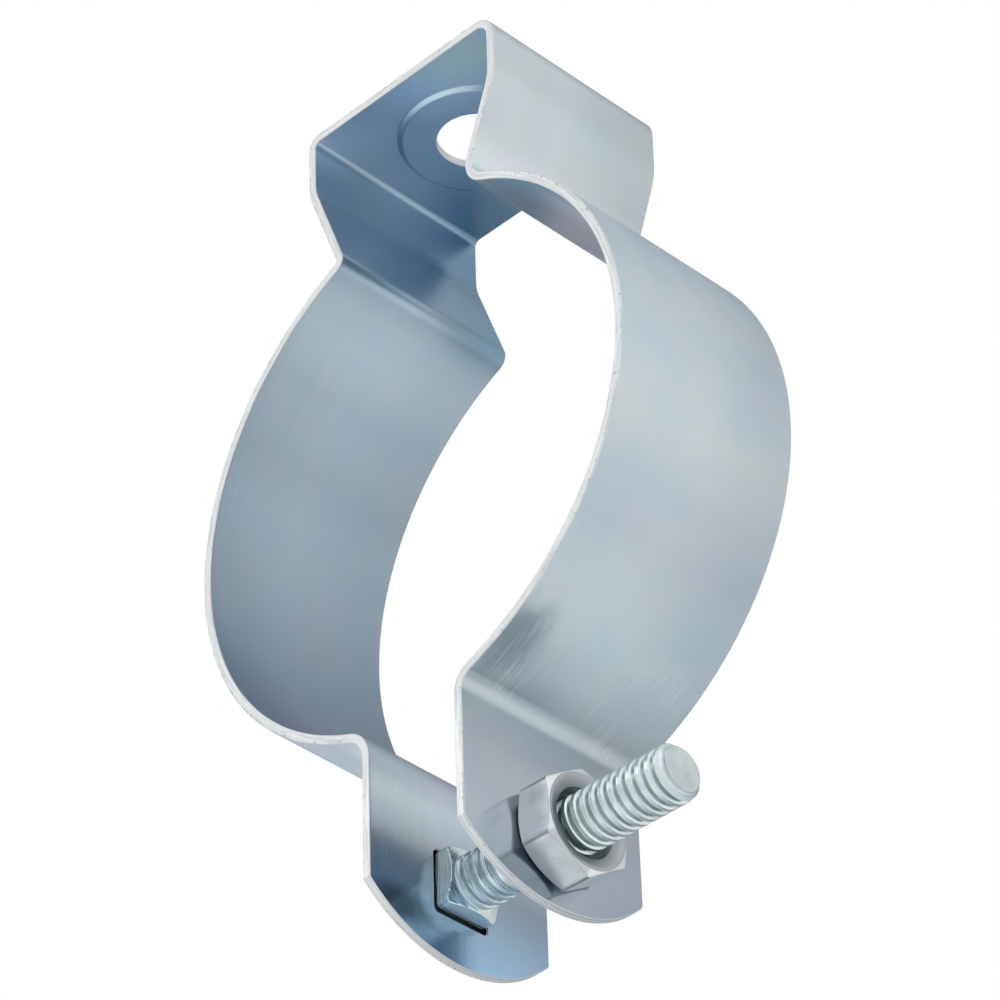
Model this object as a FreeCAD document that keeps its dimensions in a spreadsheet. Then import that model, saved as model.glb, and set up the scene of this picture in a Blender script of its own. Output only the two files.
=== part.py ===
import FreeCAD, Part
import math
import os

import Sketcher

os.makedirs("parts", exist_ok=True)
doc = FreeCAD.newDocument("ConduitHanger")
Vector = FreeCAD.Vector
Rotation = FreeCAD.Rotation
Placement = FreeCAD.Placement

# Driving sizes in millimetres and degrees; right is the nut side, left is the bolt head side
sizes = {
    "strap_width": 25.4,
    "sheet": 1.05,
    "crown_height": 51.95,
    "crown_half": 13.7,
    "crown_bend": 1.8,
    "wall_right": 7.75,
    "slant_right": 22.0,
    "kink_right": 3.6,
    "neck_right": 2.6,
    "ring_right": 33.55,
    "ring_shift_right": 2.9,
    "bend_right": 2.0,
    "wall_left": 6.15,
    "slant_left": 19.8,
    "kink_left": 6.0,
    "neck_left": 0.6,
    "ring_left": 34.0,
    "ring_shift_left": 3.35,
    "bend_left": 3.4,
    "ear_half": 6.2,
    "ear_below_right": 8.3,
    "ear_below_left": 9.1,
    "ear_bulge": 5.33,
    "ear_corner": 0.7,
    "trim_margin": 1.5,
    "hole_across": 9.0,
    "hole_shift_across": -0.7,
    "hole_shift_along": 0.1,
    "boss_across": 18.0,
    "boss_step": 0.35,
    "bolt_height": 46.6,
    "bolt_tilt": 1.5,
    "square_play": 0.525,
    "square_drop": 0.2,
    "square_corner": 0.5,
    "ear_hole_play": 0.8,
    "ear_hole_rise": 0.49,
    "head_gap": 0.06,
    "head_across": 14.6,
    "head_height": 3.4,
    "head_rim": 0.5,
    "neck_extra": 0.05,
    "neck_corner": 0.6,
    "neck_length": 3.6,
    "neck_taper": 0.9,
    "bolt_across": 6.3,
    "bolt_length": 32.3,
    "tip_across": 3.5,
    "tip_bevel": 0.45,
    "nut_flats": 11.11,
    "nut_thick": 4.5,
    "nut_gap": 0.11,
    "nut_turn": 32.5,
    "nut_bevel_inset": 0.2,
    "thread_clearance": 0.05,
    "countersink": 0.45,
}

sheet = doc.addObject("Spreadsheet::Sheet", "Sizes")
for row, (alias, value) in enumerate(sizes.items(), start=1):
    sheet.set("A%d" % row, alias)
    sheet.set("B%d" % row, str(value))
    sheet.setAlias("B%d" % row, alias)
doc.recompute()


def with_cells(formula):
    """Turns bare size names in a formula into references to the sheet."""
    words = []
    for word in formula.split(" "):
        words.append("Sizes." + word if word in sizes else word)
    return " ".join(words)


def bind(target, **links):
    """Ties properties of an object to formulas over the sheet's cells."""
    for name, formula in links.items():
        target.setExpression(name.replace("__", "."), with_cells(formula))


class Profile:
    """A sketch with chained lines and arcs whose sizes follow the sheet."""

    def __init__(self, sketch):
        self.sketch = sketch

    def line(self, start, end):
        index = self.sketch.addGeometry(Part.LineSegment(Vector(*start, 0), Vector(*end, 0)), False)
        return index, 1, 2

    def arc(self, centre, start, end, turn):
        """An arc from start to end, turn +1 anticlockwise or -1 clockwise."""
        first = math.atan2(start[1] - centre[1], start[0] - centre[0])
        last = math.atan2(end[1] - centre[1], end[0] - centre[0])
        if turn < 0:
            first, last = last, first
        while last < first:
            last += 2 * math.pi
        radius = math.hypot(start[0] - centre[0], start[1] - centre[1])
        circle = Part.Circle(Vector(*centre, 0), Vector(0, 0, 1), radius)
        index = self.sketch.addGeometry(Part.ArcOfCircle(circle, first, last), False)
        return (index, 1, 2) if turn > 0 else (index, 2, 1)

    def circle(self, centre, radius):
        circle = Part.Circle(Vector(*centre, 0), Vector(0, 0, 1), radius)
        return self.sketch.addGeometry(circle, False)

    def rule(self, *terms):
        return self.sketch.addConstraint(Sketcher.Constraint(*terms))

    def size(self, formula, *terms):
        """A dimension whose value follows a formula over the sheet."""
        index = self.rule(*terms)
        self.sketch.setExpression("Constraints[%d]" % index, with_cells(formula))

    def join(self, first, second, tangent=False):
        kind = "Tangent" if tangent else "Coincident"
        self.rule(kind, first[0], first[2], second[0], second[1])

    def polygon(self, points):
        """Closed straight outline; returns the edge indexes."""
        edges = []
        for start, end in zip(points, points[1:] + points[:1]):
            edges.append(self.line(start, end))
        for first, second in zip(edges, edges[1:] + edges[:1]):
            self.join(first, second)
        return [edge[0] for edge in edges]


def side_points(side):
    """Corner points of one half of the bent strip's inside line, on the positive side."""
    half, height, corner = sizes["crown_half"], sizes["crown_height"], sizes["crown_bend"]
    wall_end = height - sizes["wall_" + side]
    slant = math.radians(sizes["slant_" + side])
    kink = sizes["kink_" + side]
    neck = sizes["neck_" + side] + sizes["sheet"]
    ring = sizes["ring_" + side]
    bend = sizes["bend_" + side] + sizes["sheet"]
    shift = sizes["ring_shift_" + side]
    ear = sizes["ear_half"]
    ear_end = sizes["bolt_height"] + sizes["ear_below_" + side]
    kink_centre = (half - kink, wall_end)
    kink_end = (kink_centre[0] + kink * math.cos(slant), wall_end - kink * math.sin(slant))
    down = (-math.sin(slant), -math.cos(slant))
    out = (math.cos(slant), -math.sin(slant))
    base = (kink_end[0] + neck * out[0] + shift, kink_end[1] + neck * out[1])
    along = base[0] * down[0] + base[1] * down[1]
    rest = base[0] ** 2 + base[1] ** 2 - (ring + neck) ** 2
    run = -along - math.sqrt(along ** 2 - rest)
    neck_centre = (base[0] - shift + run * down[0], base[1] + run * down[1])
    neck_start = (neck_centre[0] - neck * out[0], neck_centre[1] - neck * out[1])
    share = ring / (ring + neck)
    neck_end = (-shift + (neck_centre[0] + shift) * share, neck_centre[1] * share)
    bend_x = ear + bend
    bend_z = -math.sqrt((ring + bend) ** 2 - (bend_x + shift) ** 2)
    share = ring / (ring + bend)
    bend_start = (-shift + (bend_x + shift) * share, bend_z * share)
    return {
        "top": (half - corner, height),
        "corner_centre": (half - corner, height - corner),
        "wall_top": (half, height - corner),
        "wall_end": (half, wall_end),
        "kink_centre": kink_centre,
        "kink_end": kink_end,
        "neck_centre": neck_centre,
        "neck_start": neck_start,
        "neck_end": neck_end,
        "ring_centre": (-shift, 0.0),
        "bend_centre": (bend_x, bend_z),
        "bend_start": bend_start,
        "bend_end": (ear, bend_z),
        "ear_end": (ear, -ear_end - sizes["trim_margin"]),
    }


# Inside line of the folded strip, drawn in the XZ plane
path_sketch = doc.addObject("Sketcher::SketchObject", "FoldLine")
path_sketch.Placement = Placement(Vector(0, 0, 0), Rotation(Vector(1, 0, 0), 90))
fold = Profile(path_sketch)


def draw_side(side, sign):
    """One half of the fold line, from the crown down to the ear."""
    points = {name: (sign * x, z) for name, (x, z) in side_points(side).items()}
    corner = fold.arc(points["corner_centre"], points["top"], points["wall_top"], -sign)
    wall = fold.line(points["wall_top"], points["wall_end"])
    kink = fold.arc(points["kink_centre"], points["wall_end"], points["kink_end"], -sign)
    slope = fold.line(points["kink_end"], points["neck_start"])
    neck = fold.arc(points["neck_centre"], points["neck_start"], points["neck_end"], sign)
    ring = fold.arc(points["ring_centre"], points["neck_end"], points["bend_start"], -sign)
    bend = fold.arc(points["bend_centre"], points["bend_start"], points["bend_end"], sign)
    ear = fold.line(points["bend_end"], points["ear_end"])
    chain = [corner, wall, kink, slope, neck, ring, bend, ear]
    for first, second in zip(chain, chain[1:]):
        fold.join(first, second, tangent=True)
    fold.size("crown_bend", "Radius", corner[0], sizes["crown_bend"])
    fold.rule("Vertical", wall[0])
    fold.size("kink_" + side, "Radius", kink[0], sizes["kink_" + side])
    neck_size = sizes["neck_" + side] + sizes["sheet"]
    fold.size("neck_%s + sheet" % side, "Radius", neck[0], neck_size)
    fold.size("ring_" + side, "Radius", ring[0], sizes["ring_" + side])
    bend_size = sizes["bend_" + side] + sizes["sheet"]
    fold.size("bend_%s + sheet" % side, "Radius", bend[0], bend_size)
    fold.rule("Vertical", ear[0])
    fold.rule("PointOnObject", ring[0], 3, -1)
    fold.size("crown_height - wall_" + side, "DistanceY", -1, 1, wall[0], 2, points["wall_end"][1])
    drop_text = "bolt_height + ear_below_%s + trim_margin" % side
    fold.size(drop_text, "DistanceY", ear[0], 2, -1, 1, -points["ear_end"][1])
    half, gap, shift = sizes["crown_half"], sizes["ear_half"], sizes["ring_shift_" + side]
    if sign > 0:
        fold.size("crown_half", "DistanceX", -1, 1, wall[0], 1, half)
        fold.size("ear_half", "DistanceX", -1, 1, ear[0], 1, gap)
        fold.size("ring_shift_" + side, "DistanceX", ring[0], 3, -1, 1, shift)
        angle = math.radians(-90 - sizes["slant_" + side])
        fold.size("-90 - slant_" + side, "Angle", slope[0], angle)
    else:
        fold.size("crown_half", "DistanceX", wall[0], 1, -1, 1, half)
        fold.size("ear_half", "DistanceX", ear[0], 1, -1, 1, gap)
        fold.size("ring_shift_" + side, "DistanceX", -1, 1, ring[0], 3, shift)
        angle = math.radians(-90 + sizes["slant_" + side])
        fold.size("-90 + slant_" + side, "Angle", slope[0], angle)
    return corner


right_corner = draw_side("right", 1)
left_corner = draw_side("left", -1)
crown_top = side_points("right")["top"]
crown = fold.line((-crown_top[0], crown_top[1]), crown_top)
fold.rule("Tangent", crown[0], 2, right_corner[0], right_corner[1])
fold.rule("Tangent", crown[0], 1, left_corner[0], left_corner[1])
fold.rule("Horizontal", crown[0])
fold.size("crown_height", "DistanceY", -1, 1, crown[0], 1, sizes["crown_height"])
doc.recompute()

# The sheet stands outside the fold line and runs along the conduit
section = doc.addObject("Part::Offset2D", "SheetSection")
section.Source = path_sketch
section.Mode = "Skin"
section.Join = "Intersection"
section.Fill = True
section.Value = -sizes["sheet"]
bind(section, Value="-1 * sheet")

strip = doc.addObject("Part::Extrusion", "BentStrip")
strip.Base = section
strip.DirMode = "Custom"
strip.Dir = Vector(0, 1, 0)
strip.Solid = True
strip.Symmetric = True
bind(strip, LengthFwd="strap_width")
doc.recompute()


def origin_plane(body, role):
    return next(item for item in body.Origin.OriginFeatures if item.Role == role)


def attach(body, item, role, **offsets):
    """Lays a sketch or a primitive on one of its own body's origin planes."""
    item.AttachmentSupport = [(origin_plane(body, role), "")]
    item.MapMode = "FlatFace"
    for name, formula in offsets.items():
        bind(item, **{"AttachmentOffset__Base__" + name: formula})


def sketch_on(body, name, role, **offsets):
    sketch = body.newObject("Sketcher::SketchObject", name)
    attach(body, sketch, role, **offsets)
    return Profile(sketch)


def feature(body, kind, name, sketch, **links):
    item = body.newObject("PartDesign::" + kind, name)
    item.Profile = sketch
    bind(item, **links)
    return item


# The hanger itself: the bent strip with its crown hole, ear holes and rounded ends
strap = doc.addObject("PartDesign::Body", "HangerStrap")
strap.Label = "hanger_strap"
strap.BaseFeature = strip
doc.recompute()


def cone(body, kind, name, lower, upper, rise, level):
    """A frustum about the crown hole, pressed out of the sheet or into it."""
    item = body.newObject("PartDesign::" + kind, name)
    attach(body, item, "XY_Plane", x="hole_shift_across", y="hole_shift_along", z=level)
    bind(item, Radius1=lower, Radius2=upper, Height=rise)
    doc.recompute()
    return item


# The round boss pressed down around the hole, with the matching hollow above it
boss_wall = "boss_across / 2 - boss_step * 1.2"
cone(strap, "AdditiveCone", "BossBelow", boss_wall, "boss_across / 2", "boss_step", "crown_height - boss_step")
hollow_wall = "boss_across / 2 - boss_step * 1.2 - sheet * 0.1"
hollow_rim = "boss_across / 2 - sheet * 0.1"
hollow_level = "crown_height + sheet - boss_step"
cone(strap, "SubtractiveCone", "HollowAbove", hollow_wall, hollow_rim, "boss_step", hollow_level)

# Mounting hole through the crown
hole = sketch_on(strap, "CrownHoleSketch", "XY_Plane")
ring = hole.circle((sizes["hole_shift_across"], sizes["hole_shift_along"]), sizes["hole_across"] / 2)
hole.size("hole_across / 2", "Radius", ring, sizes["hole_across"] / 2)
hole.size("hole_shift_across", "DistanceX", -1, 1, ring, 3, sizes["hole_shift_across"])
hole.size("hole_shift_along", "DistanceY", -1, 1, ring, 3, sizes["hole_shift_along"])
feature(strap, "Pocket", "CrownHole", hole.sketch, Length="crown_height + sheet * 2").Reversed = True
doc.recompute()


def rounded_square(profile, side, radius, level, side_text, radius_text, level_text):
    """A square with rounded corners, centred on the Y axis and lowered by the level."""
    half = side / 2
    inner = half - radius
    corners = []
    for x, z, quarter in [(inner, inner, 0), (-inner, inner, 1), (-inner, -inner, 2), (inner, -inner, 3)]:
        centre = (x, z - level)
        reach = [(radius, 0), (0, radius), (-radius, 0), (0, -radius)]
        start = (centre[0] + reach[quarter][0], centre[1] + reach[quarter][1])
        last = reach[(quarter + 1) % 4]
        end = (centre[0] + last[0], centre[1] + last[1])
        corners.append((profile.arc(centre, start, end, 1), start, end))
    sides = []
    for index, (corner, start, end) in enumerate(corners):
        following = corners[(index + 1) % 4]
        straight = profile.line(end, following[1])
        profile.join(corner, straight, tangent=True)
        profile.join(straight, following[0], tangent=True)
        profile.rule("Horizontal" if index % 2 == 0 else "Vertical", straight[0])
        sides.append(straight)
    for corner, start, end in corners[1:]:
        profile.rule("Equal", corners[0][0][0], corner[0])
    profile.size(radius_text, "Radius", corners[0][0][0], radius)
    top, left, bottom, right = (straight[0] for straight in sides)
    half_text = "( %s ) / 2" % side_text
    profile.size(half_text, "DistanceX", -1, 1, right, 1, half)
    profile.size(half_text, "DistanceX", left, 1, -1, 1, half)
    profile.size(half_text + " + " + level_text, "DistanceY", bottom, 1, -1, 1, half + level)
    profile.size(half_text + " - " + level_text, "DistanceY", -1, 1, top, 1, half - level)


# Square hole for the bolt's neck in the left ear
neck_side = sizes["bolt_across"] + sizes["neck_extra"]
neck_text = "bolt_across + neck_extra"
square_side = neck_side + 2 * sizes["square_play"]
square_text = neck_text + " + square_play * 2"
square_level = sizes["bolt_height"] + sizes["square_drop"]
square = sketch_on(strap, "SquareHoleSketch", "YZ_Plane")
rounded_square(
    square,
    square_side,
    sizes["square_corner"],
    square_level,
    square_text,
    "square_corner",
    "( bolt_height + square_drop )",
)
feature(strap, "Pocket", "SquareHole", square.sketch, Length="ear_half + sheet * 2")
doc.recompute()

# Round clearance hole in the right ear, where the drooping bolt comes through
tilt = math.radians(sizes["bolt_tilt"])
head_out = sizes["ear_half"] + sizes["sheet"] + sizes["head_gap"] + sizes["head_across"] / 2 * math.sin(tilt)
head_text = "ear_half + sheet + head_gap + head_across / 2 * sin( bolt_tilt )"
right_face = sizes["ear_half"] + sizes["sheet"]
ear_hole_level = sizes["bolt_height"] + (head_out + right_face) * math.tan(tilt) - sizes["ear_hole_rise"]
ear_hole_text = "bolt_height + ( %s + ear_half + sheet ) * tan( bolt_tilt ) - ear_hole_rise" % head_text
ear_hole_radius = sizes["bolt_across"] / 2 + sizes["ear_hole_play"]
ear_hole = sketch_on(strap, "EarHoleSketch", "YZ_Plane")
ring = ear_hole.circle((0, -ear_hole_level), ear_hole_radius)
ear_hole.size("bolt_across / 2 + ear_hole_play", "Radius", ring, ear_hole_radius)
ear_hole.size(ear_hole_text, "DistanceY", ring, 3, -1, 1, ear_hole_level)
ear_hole.rule("PointOnObject", ring, 3, -2)
feature(strap, "Pocket", "EarHole", ear_hole.sketch, Length="ear_half + sheet * 2").Reversed = True
doc.recompute()


def trim_ear(side, outward):
    """Cuts the end of one ear to its wide convex arc."""
    profile = sketch_on(strap, "EarEnd_" + side, "YZ_Plane")
    end = sizes["bolt_height"] + sizes["ear_below_" + side]
    end_text = "bolt_height + ear_below_" + side
    bulge, margin = sizes["ear_bulge"], sizes["trim_margin"]
    radius = (sizes["strap_width"] ** 2 / 4 + bulge ** 2) / (2 * bulge)
    radius_text = "( strap_width ^ 2 / 4 + ear_bulge ^ 2 ) / ( 2 * ear_bulge )"
    edge = sizes["strap_width"] / 2 + 0.1
    centre = (0, radius - end)
    level = centre[1] - math.sqrt(radius ** 2 - edge ** 2)
    floor = -end - 2 * margin
    arc = profile.arc(centre, (-edge, level), (edge, level), 1)
    right = profile.line((edge, level), (edge, floor))
    bottom = profile.line((edge, floor), (-edge, floor))
    left = profile.line((-edge, floor), (-edge, level))
    chain = [arc, right, bottom, left]
    for first, second in zip(chain, chain[1:] + chain[:1]):
        profile.join(first, second)
    profile.rule("Vertical", right[0])
    profile.rule("Vertical", left[0])
    profile.rule("Horizontal", bottom[0])
    profile.rule("PointOnObject", arc[0], 3, -2)
    profile.size(radius_text, "Radius", arc[0], radius)
    profile.size(end_text + " - " + radius_text, "DistanceY", arc[0], 3, -1, 1, end - radius)
    profile.size("strap_width / 2 + 0.1", "DistanceX", -1, 1, right[0], 1, edge)
    profile.size("strap_width / 2 + 0.1", "DistanceX", left[0], 1, -1, 1, edge)
    profile.size(end_text + " + trim_margin * 2", "DistanceY", bottom[0], 1, -1, 1, end + 2 * margin)
    cut = feature(strap, "Pocket", "EarTrim_" + side, profile.sketch, Length="ear_half + sheet * 2")
    cut.Reversed = outward
    doc.recompute()


trim_ear("left", False)
trim_ear("right", True)


def edge_near(shape, point):
    """Name of the edge whose middle lies closest to a point."""
    best = min(range(len(shape.Edges)), key=lambda i: middle(shape.Edges[i]).distanceToPoint(point))
    return "Edge%d" % (best + 1)


def middle(edge):
    return edge.valueAt((edge.FirstParameter + edge.LastParameter) / 2)


# The right ear's far corner is worn round
ear_corner_z = sizes["ear_bulge"] - sizes["bolt_height"] - sizes["ear_below_right"]
corner_at = Vector(sizes["ear_half"] + sizes["sheet"] / 2, sizes["strap_width"] / 2, ear_corner_z)
trimmed = strap.Tip
corner_edge = edge_near(trimmed.Shape, corner_at)
worn = strap.newObject("PartDesign::Fillet", "WornCorner")
worn.Base = (trimmed, [corner_edge])
bind(worn, Radius="ear_corner")
doc.recompute()

# Carriage bolt, drawn along its own X axis from under the head and laid in place tilted
bolt = doc.addObject("PartDesign::Body", "CarriageBolt")
bolt.Label = "carriage_bolt"
turned = sketch_on(bolt, "BoltSketch", "XZ_Plane")
head, rim = sizes["head_height"], sizes["head_rim"]
head_radius, shank = sizes["head_across"] / 2, sizes["bolt_across"] / 2
length, tip, tip_radius = sizes["bolt_length"], sizes["tip_bevel"], sizes["tip_across"] / 2
rise = head - rim
dome_radius = (head_radius ** 2 + rise ** 2) / (2 * rise)
crown_point = (-head, 0)
rim_point = (-rim, head_radius)
dome = turned.arc((dome_radius - head, 0), crown_point, rim_point, -1)
outline = [rim_point, (0, head_radius), (0, shank), (length - tip, shank), (length, tip_radius), (length, 0)]
edges = [turned.line(start, end) for start, end in zip(outline, outline[1:] + [crown_point])]
chain = [dome] + edges
for first, second in zip(chain, chain[1:] + chain[:1]):
    turned.join(first, second)
side, seat, body_line, bevel, face, axis = (edge[0] for edge in edges)
turned.rule("PointOnObject", dome[0], 3, -1)
turned.rule("Horizontal", side)
turned.rule("Vertical", seat)
turned.rule("Horizontal", body_line)
turned.rule("Vertical", face)
turned.rule("PointOnObject", axis, 1, -1)
turned.rule("PointOnObject", axis, 2, -1)
turned.rule("PointOnObject", seat, 1, -2)
turned.size("head_height", "DistanceX", axis, 2, -1, 1, head)
turned.size("head_rim", "DistanceX", side, 1, -1, 1, rim)
turned.size("head_across / 2", "DistanceY", -1, 1, side, 1, head_radius)
turned.size("bolt_across / 2", "DistanceY", -1, 1, body_line, 1, shank)
turned.size("bolt_length", "DistanceX", -1, 1, face, 1, length)
turned.size("tip_bevel", "DistanceX", bevel, 1, bevel, 2, tip)
turned.size("tip_across / 2", "DistanceY", -1, 1, face, 1, tip_radius)
spin = feature(bolt, "Revolution", "BoltTurned", turned.sketch)
spin.ReferenceAxis = (turned.sketch, ["H_Axis"])
doc.recompute()

# Square neck under the head, its corners sloped down to the thread
neck = sketch_on(bolt, "NeckSketch", "YZ_Plane")
rounded_square(neck, neck_side, sizes["neck_corner"], 0.0, neck_text, "neck_corner", "0")
feature(bolt, "Pad", "SquareNeck", neck.sketch, Length="neck_length")
doc.recompute()


def groove(body, name, points, formulas):
    """Cuts a closed outline turned about the body's X axis; one formula pair per point."""
    profile = sketch_on(body, name + "Sketch", "XZ_Plane")
    edges = profile.polygon(points)
    for edge, (x, z), (along, across) in zip(edges, points, formulas):
        if along == "0":
            profile.rule("PointOnObject", edge, 1, -2)
        else:
            profile.size(along, "DistanceX", -1, 1, edge, 1, x)
        if across == "0":
            profile.rule("PointOnObject", edge, 1, -1)
        else:
            profile.size(across, "DistanceY", -1, 1, edge, 1, z)
    cut = feature(body, "Groove", name, profile.sketch)
    cut.ReferenceAxis = (profile.sketch, ["H_Axis"])
    doc.recompute()


neck_end, taper = sizes["neck_length"], sizes["neck_taper"]
slope_top = neck_side * 0.72
slope_foot = shank + 0.1
outer = neck_side
taper_points = [
    (neck_end - taper, slope_top),
    (neck_end, slope_foot),
    (neck_end + 0.2, slope_foot),
    (neck_end + 0.2, outer),
    (neck_end - taper, outer),
]
taper_formulas = [
    ("neck_length - neck_taper", "( %s ) * 0.72" % neck_text),
    ("neck_length", "bolt_across / 2 + 0.1"),
    ("neck_length + 0.2", "bolt_across / 2 + 0.1"),
    ("neck_length + 0.2", neck_text),
    ("neck_length - neck_taper", neck_text),
]
groove(bolt, "NeckTaper", taper_points, taper_formulas)

# The bolt droops a little, its head just clear of the left ear
lay = Rotation(Vector(0, 1, 0), sizes["bolt_tilt"])
bolt.Placement = Placement(Vector(-head_out, 0, -sizes["bolt_height"]), lay)
bind(bolt, Placement__Base__x="-1 * ( %s )" % head_text, Placement__Base__z="-1 * bolt_height")
bind(bolt, Placement__Rotation__Angle="bolt_tilt")

# Hex nut on the same axis, just clear of the right ear
nut = doc.addObject("PartDesign::Body", "HexNut")
nut.Label = "hex_nut"
prism = nut.newObject("PartDesign::AdditivePrism", "NutBlank")
attach(nut, prism, "YZ_Plane")
prism.Polygon = 6
bind(prism, Circumradius="nut_flats / sqrt(3)", Height="nut_thick")
prism.AttachmentOffset = Placement(Vector(0, 0, 0), Rotation(Vector(0, 0, 1), sizes["nut_turn"]))
bind(prism, AttachmentOffset__Rotation__Angle="nut_turn")
doc.recompute()

# Both faces bevelled at 45 degrees, leaving a round land
flats, thick, inset = sizes["nut_flats"], sizes["nut_thick"], sizes["nut_bevel_inset"]
land = flats / 2 - inset
reach = flats * 0.65
fall = reach - land
land_text = "nut_flats / 2 - nut_bevel_inset"
fall_text = "( nut_flats * 0.15 + nut_bevel_inset )"
rear = [(0, land), (fall, reach), (0, reach)]
rear_text = [("0", land_text), (fall_text, "nut_flats * 0.65"), ("0", "nut_flats * 0.65")]
groove(nut, "RearBevel", rear, rear_text)
front = [(thick, land), (thick - fall, reach), (thick, reach)]
front_text = [
    ("nut_thick", land_text),
    ("nut_thick - " + fall_text, "nut_flats * 0.65"),
    ("nut_thick", "nut_flats * 0.65"),
]
groove(nut, "FrontBevel", front, front_text)

# Threaded bore with a countersink at each end, kept clear of the bolt
bore = shank + sizes["thread_clearance"]
sink = sizes["countersink"]
bore_text = "bolt_across / 2 + thread_clearance"
bore_points = [(0, 0), (0, bore + sink), (sink, bore), (thick - sink, bore), (thick, bore + sink), (thick, 0)]
bore_formulas = [
    ("0", "0"),
    ("0", bore_text + " + countersink"),
    ("countersink", bore_text),
    ("nut_thick - countersink", bore_text),
    ("nut_thick", bore_text + " + countersink"),
    ("nut_thick", "0"),
]
groove(nut, "Bore", bore_points, bore_formulas)

nut_out = right_face + sizes["nut_gap"] + land * math.sin(tilt)
nut_text = "ear_half + sheet + nut_gap + ( %s ) * sin( bolt_tilt )" % land_text
drop = (nut_out + head_out) * math.tan(tilt)
nut.Placement = Placement(Vector(nut_out, 0, -sizes["bolt_height"] - drop), lay)
drop_text = "( %s + %s ) * tan( bolt_tilt )" % (nut_text, head_text)
bind(nut, Placement__Base__x=nut_text, Placement__Base__z="-1 * bolt_height - " + drop_text)
bind(nut, Placement__Rotation__Angle="bolt_tilt")
doc.recompute()

# Every object must have recomputed cleanly before its solid is written
for item in doc.Objects:
    if "Invalid" in item.State or "Error" in item.State:
        raise RuntimeError("%s did not recompute: %s" % (item.Name, item.State))
for body in (strap, bolt, nut):
    shape = body.Shape
    if shape.isNull() or not shape.isValid() or len(shape.Solids) != 1:
        raise RuntimeError("%s is not one valid solid" % body.Label)
    shape.exportStep("parts/%s.step" % body.Label)
    print(body.Label, "%.1f mm3" % shape.Volume, shape.BoundBox)
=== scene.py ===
import math

import bmesh
import bpy
import numpy as np
from mathutils import Matrix, Vector
from mathutils.geometry import delaunay_2d_cdt


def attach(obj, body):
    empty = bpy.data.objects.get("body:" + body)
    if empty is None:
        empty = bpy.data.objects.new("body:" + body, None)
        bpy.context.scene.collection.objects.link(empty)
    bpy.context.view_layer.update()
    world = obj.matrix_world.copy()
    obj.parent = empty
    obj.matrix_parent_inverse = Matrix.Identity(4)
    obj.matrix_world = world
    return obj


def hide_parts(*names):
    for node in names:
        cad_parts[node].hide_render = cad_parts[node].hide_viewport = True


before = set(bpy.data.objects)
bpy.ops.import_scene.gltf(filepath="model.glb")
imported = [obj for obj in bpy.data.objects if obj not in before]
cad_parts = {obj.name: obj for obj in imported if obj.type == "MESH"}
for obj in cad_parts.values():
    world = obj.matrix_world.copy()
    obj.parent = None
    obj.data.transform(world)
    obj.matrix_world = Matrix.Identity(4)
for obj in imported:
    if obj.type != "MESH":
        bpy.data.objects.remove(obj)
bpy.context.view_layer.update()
mm = 0.001
scene = bpy.context.scene
print("frame loaded:", ", ".join(sorted(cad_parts)))


# node helpers

def addNode(tree, kind, inputs=None, **settings):
    node = tree.nodes.new(kind)
    for name, value in settings.items():
        setattr(node, name, value)
    for key, value in (inputs or {}).items():
        if isinstance(value, bpy.types.NodeSocket):
            tree.links.new(value, node.inputs[key])
        else:
            node.inputs[key].default_value = value
    return node


def calc(tree, operation, *values):
    return addNode(tree, "ShaderNodeMath", dict(enumerate(values)), operation=operation).outputs[0]


def product(tree, first, *others):
    for other in others:
        first = calc(tree, "MULTIPLY", first, other)
    return first


def total(tree, first, *others):
    for other in others:
        first = calc(tree, "ADD", first, other)
    return first


def less(tree, first, second):
    return calc(tree, "SUBTRACT", first, second)


def vector(tree, operation, *values):
    # LENGTH and DOT_PRODUCT give a number, the others a vector
    node = addNode(tree, "ShaderNodeVectorMath", dict(enumerate(values)), operation=operation)
    return node.outputs["Value" if operation in ("LENGTH", "DOT_PRODUCT") else "Vector"]


def scaled(tree, first, factor):
    return addNode(tree, "ShaderNodeVectorMath", {0: first, "Scale": factor}, operation="SCALE").outputs[0]


def join(tree, x=0.0, y=0.0, z=0.0):
    return addNode(tree, "ShaderNodeCombineXYZ", {0: x, 1: y, 2: z}).outputs[0]


def axes(tree, where):
    return addNode(tree, "ShaderNodeSeparateXYZ", {0: where}).outputs


def noise(tree, where, scale=1.0, detail=2.0, **settings):
    inputs = {"Vector": where, "Scale": scale, "Detail": detail, **settings}
    return addNode(tree, "ShaderNodeTexNoise", inputs).outputs[0]


def attribute(tree, name):
    return addNode(tree, "ShaderNodeAttribute", attribute_name=name).outputs["Fac"]


def objectPlace(tree):
    return addNode(tree, "ShaderNodeTexCoord").outputs["Object"]


def ramp(tree, value, low, high, lowOut=0.0, highOut=1.0, smooth=True):
    node = addNode(tree, "ShaderNodeMapRange", {0: value, 1: low, 2: high, 3: lowOut, 4: highOut})
    node.interpolation_type = "SMOOTHSTEP" if smooth else "LINEAR"
    return node.outputs[0]


def newGroup(name, kind, inputs, outputs):
    # inputs by name: the default value, or the kind of socket where there is none
    kinds = {float: "Float", int: "Int", tuple: "Vector"}
    tree = bpy.data.node_groups.new(name, kind + "NodeTree")
    for label, default in inputs.items():
        bare = isinstance(default, str)
        socketType = "NodeSocket" + (default if bare else kinds[type(default)])
        socket = tree.interface.new_socket(name=label, in_out="INPUT", socket_type=socketType)
        if not bare:
            socket.default_value = default
    for label in outputs:
        socketType = "NodeSocketFloat" if kind == "Shader" else "NodeSocketGeometry"
        tree.interface.new_socket(name=label, in_out="OUTPUT", socket_type=socketType)
    start = tree.nodes.new("NodeGroupInput")
    end = tree.nodes.new("NodeGroupOutput")
    return tree, start.outputs, end.inputs


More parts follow.
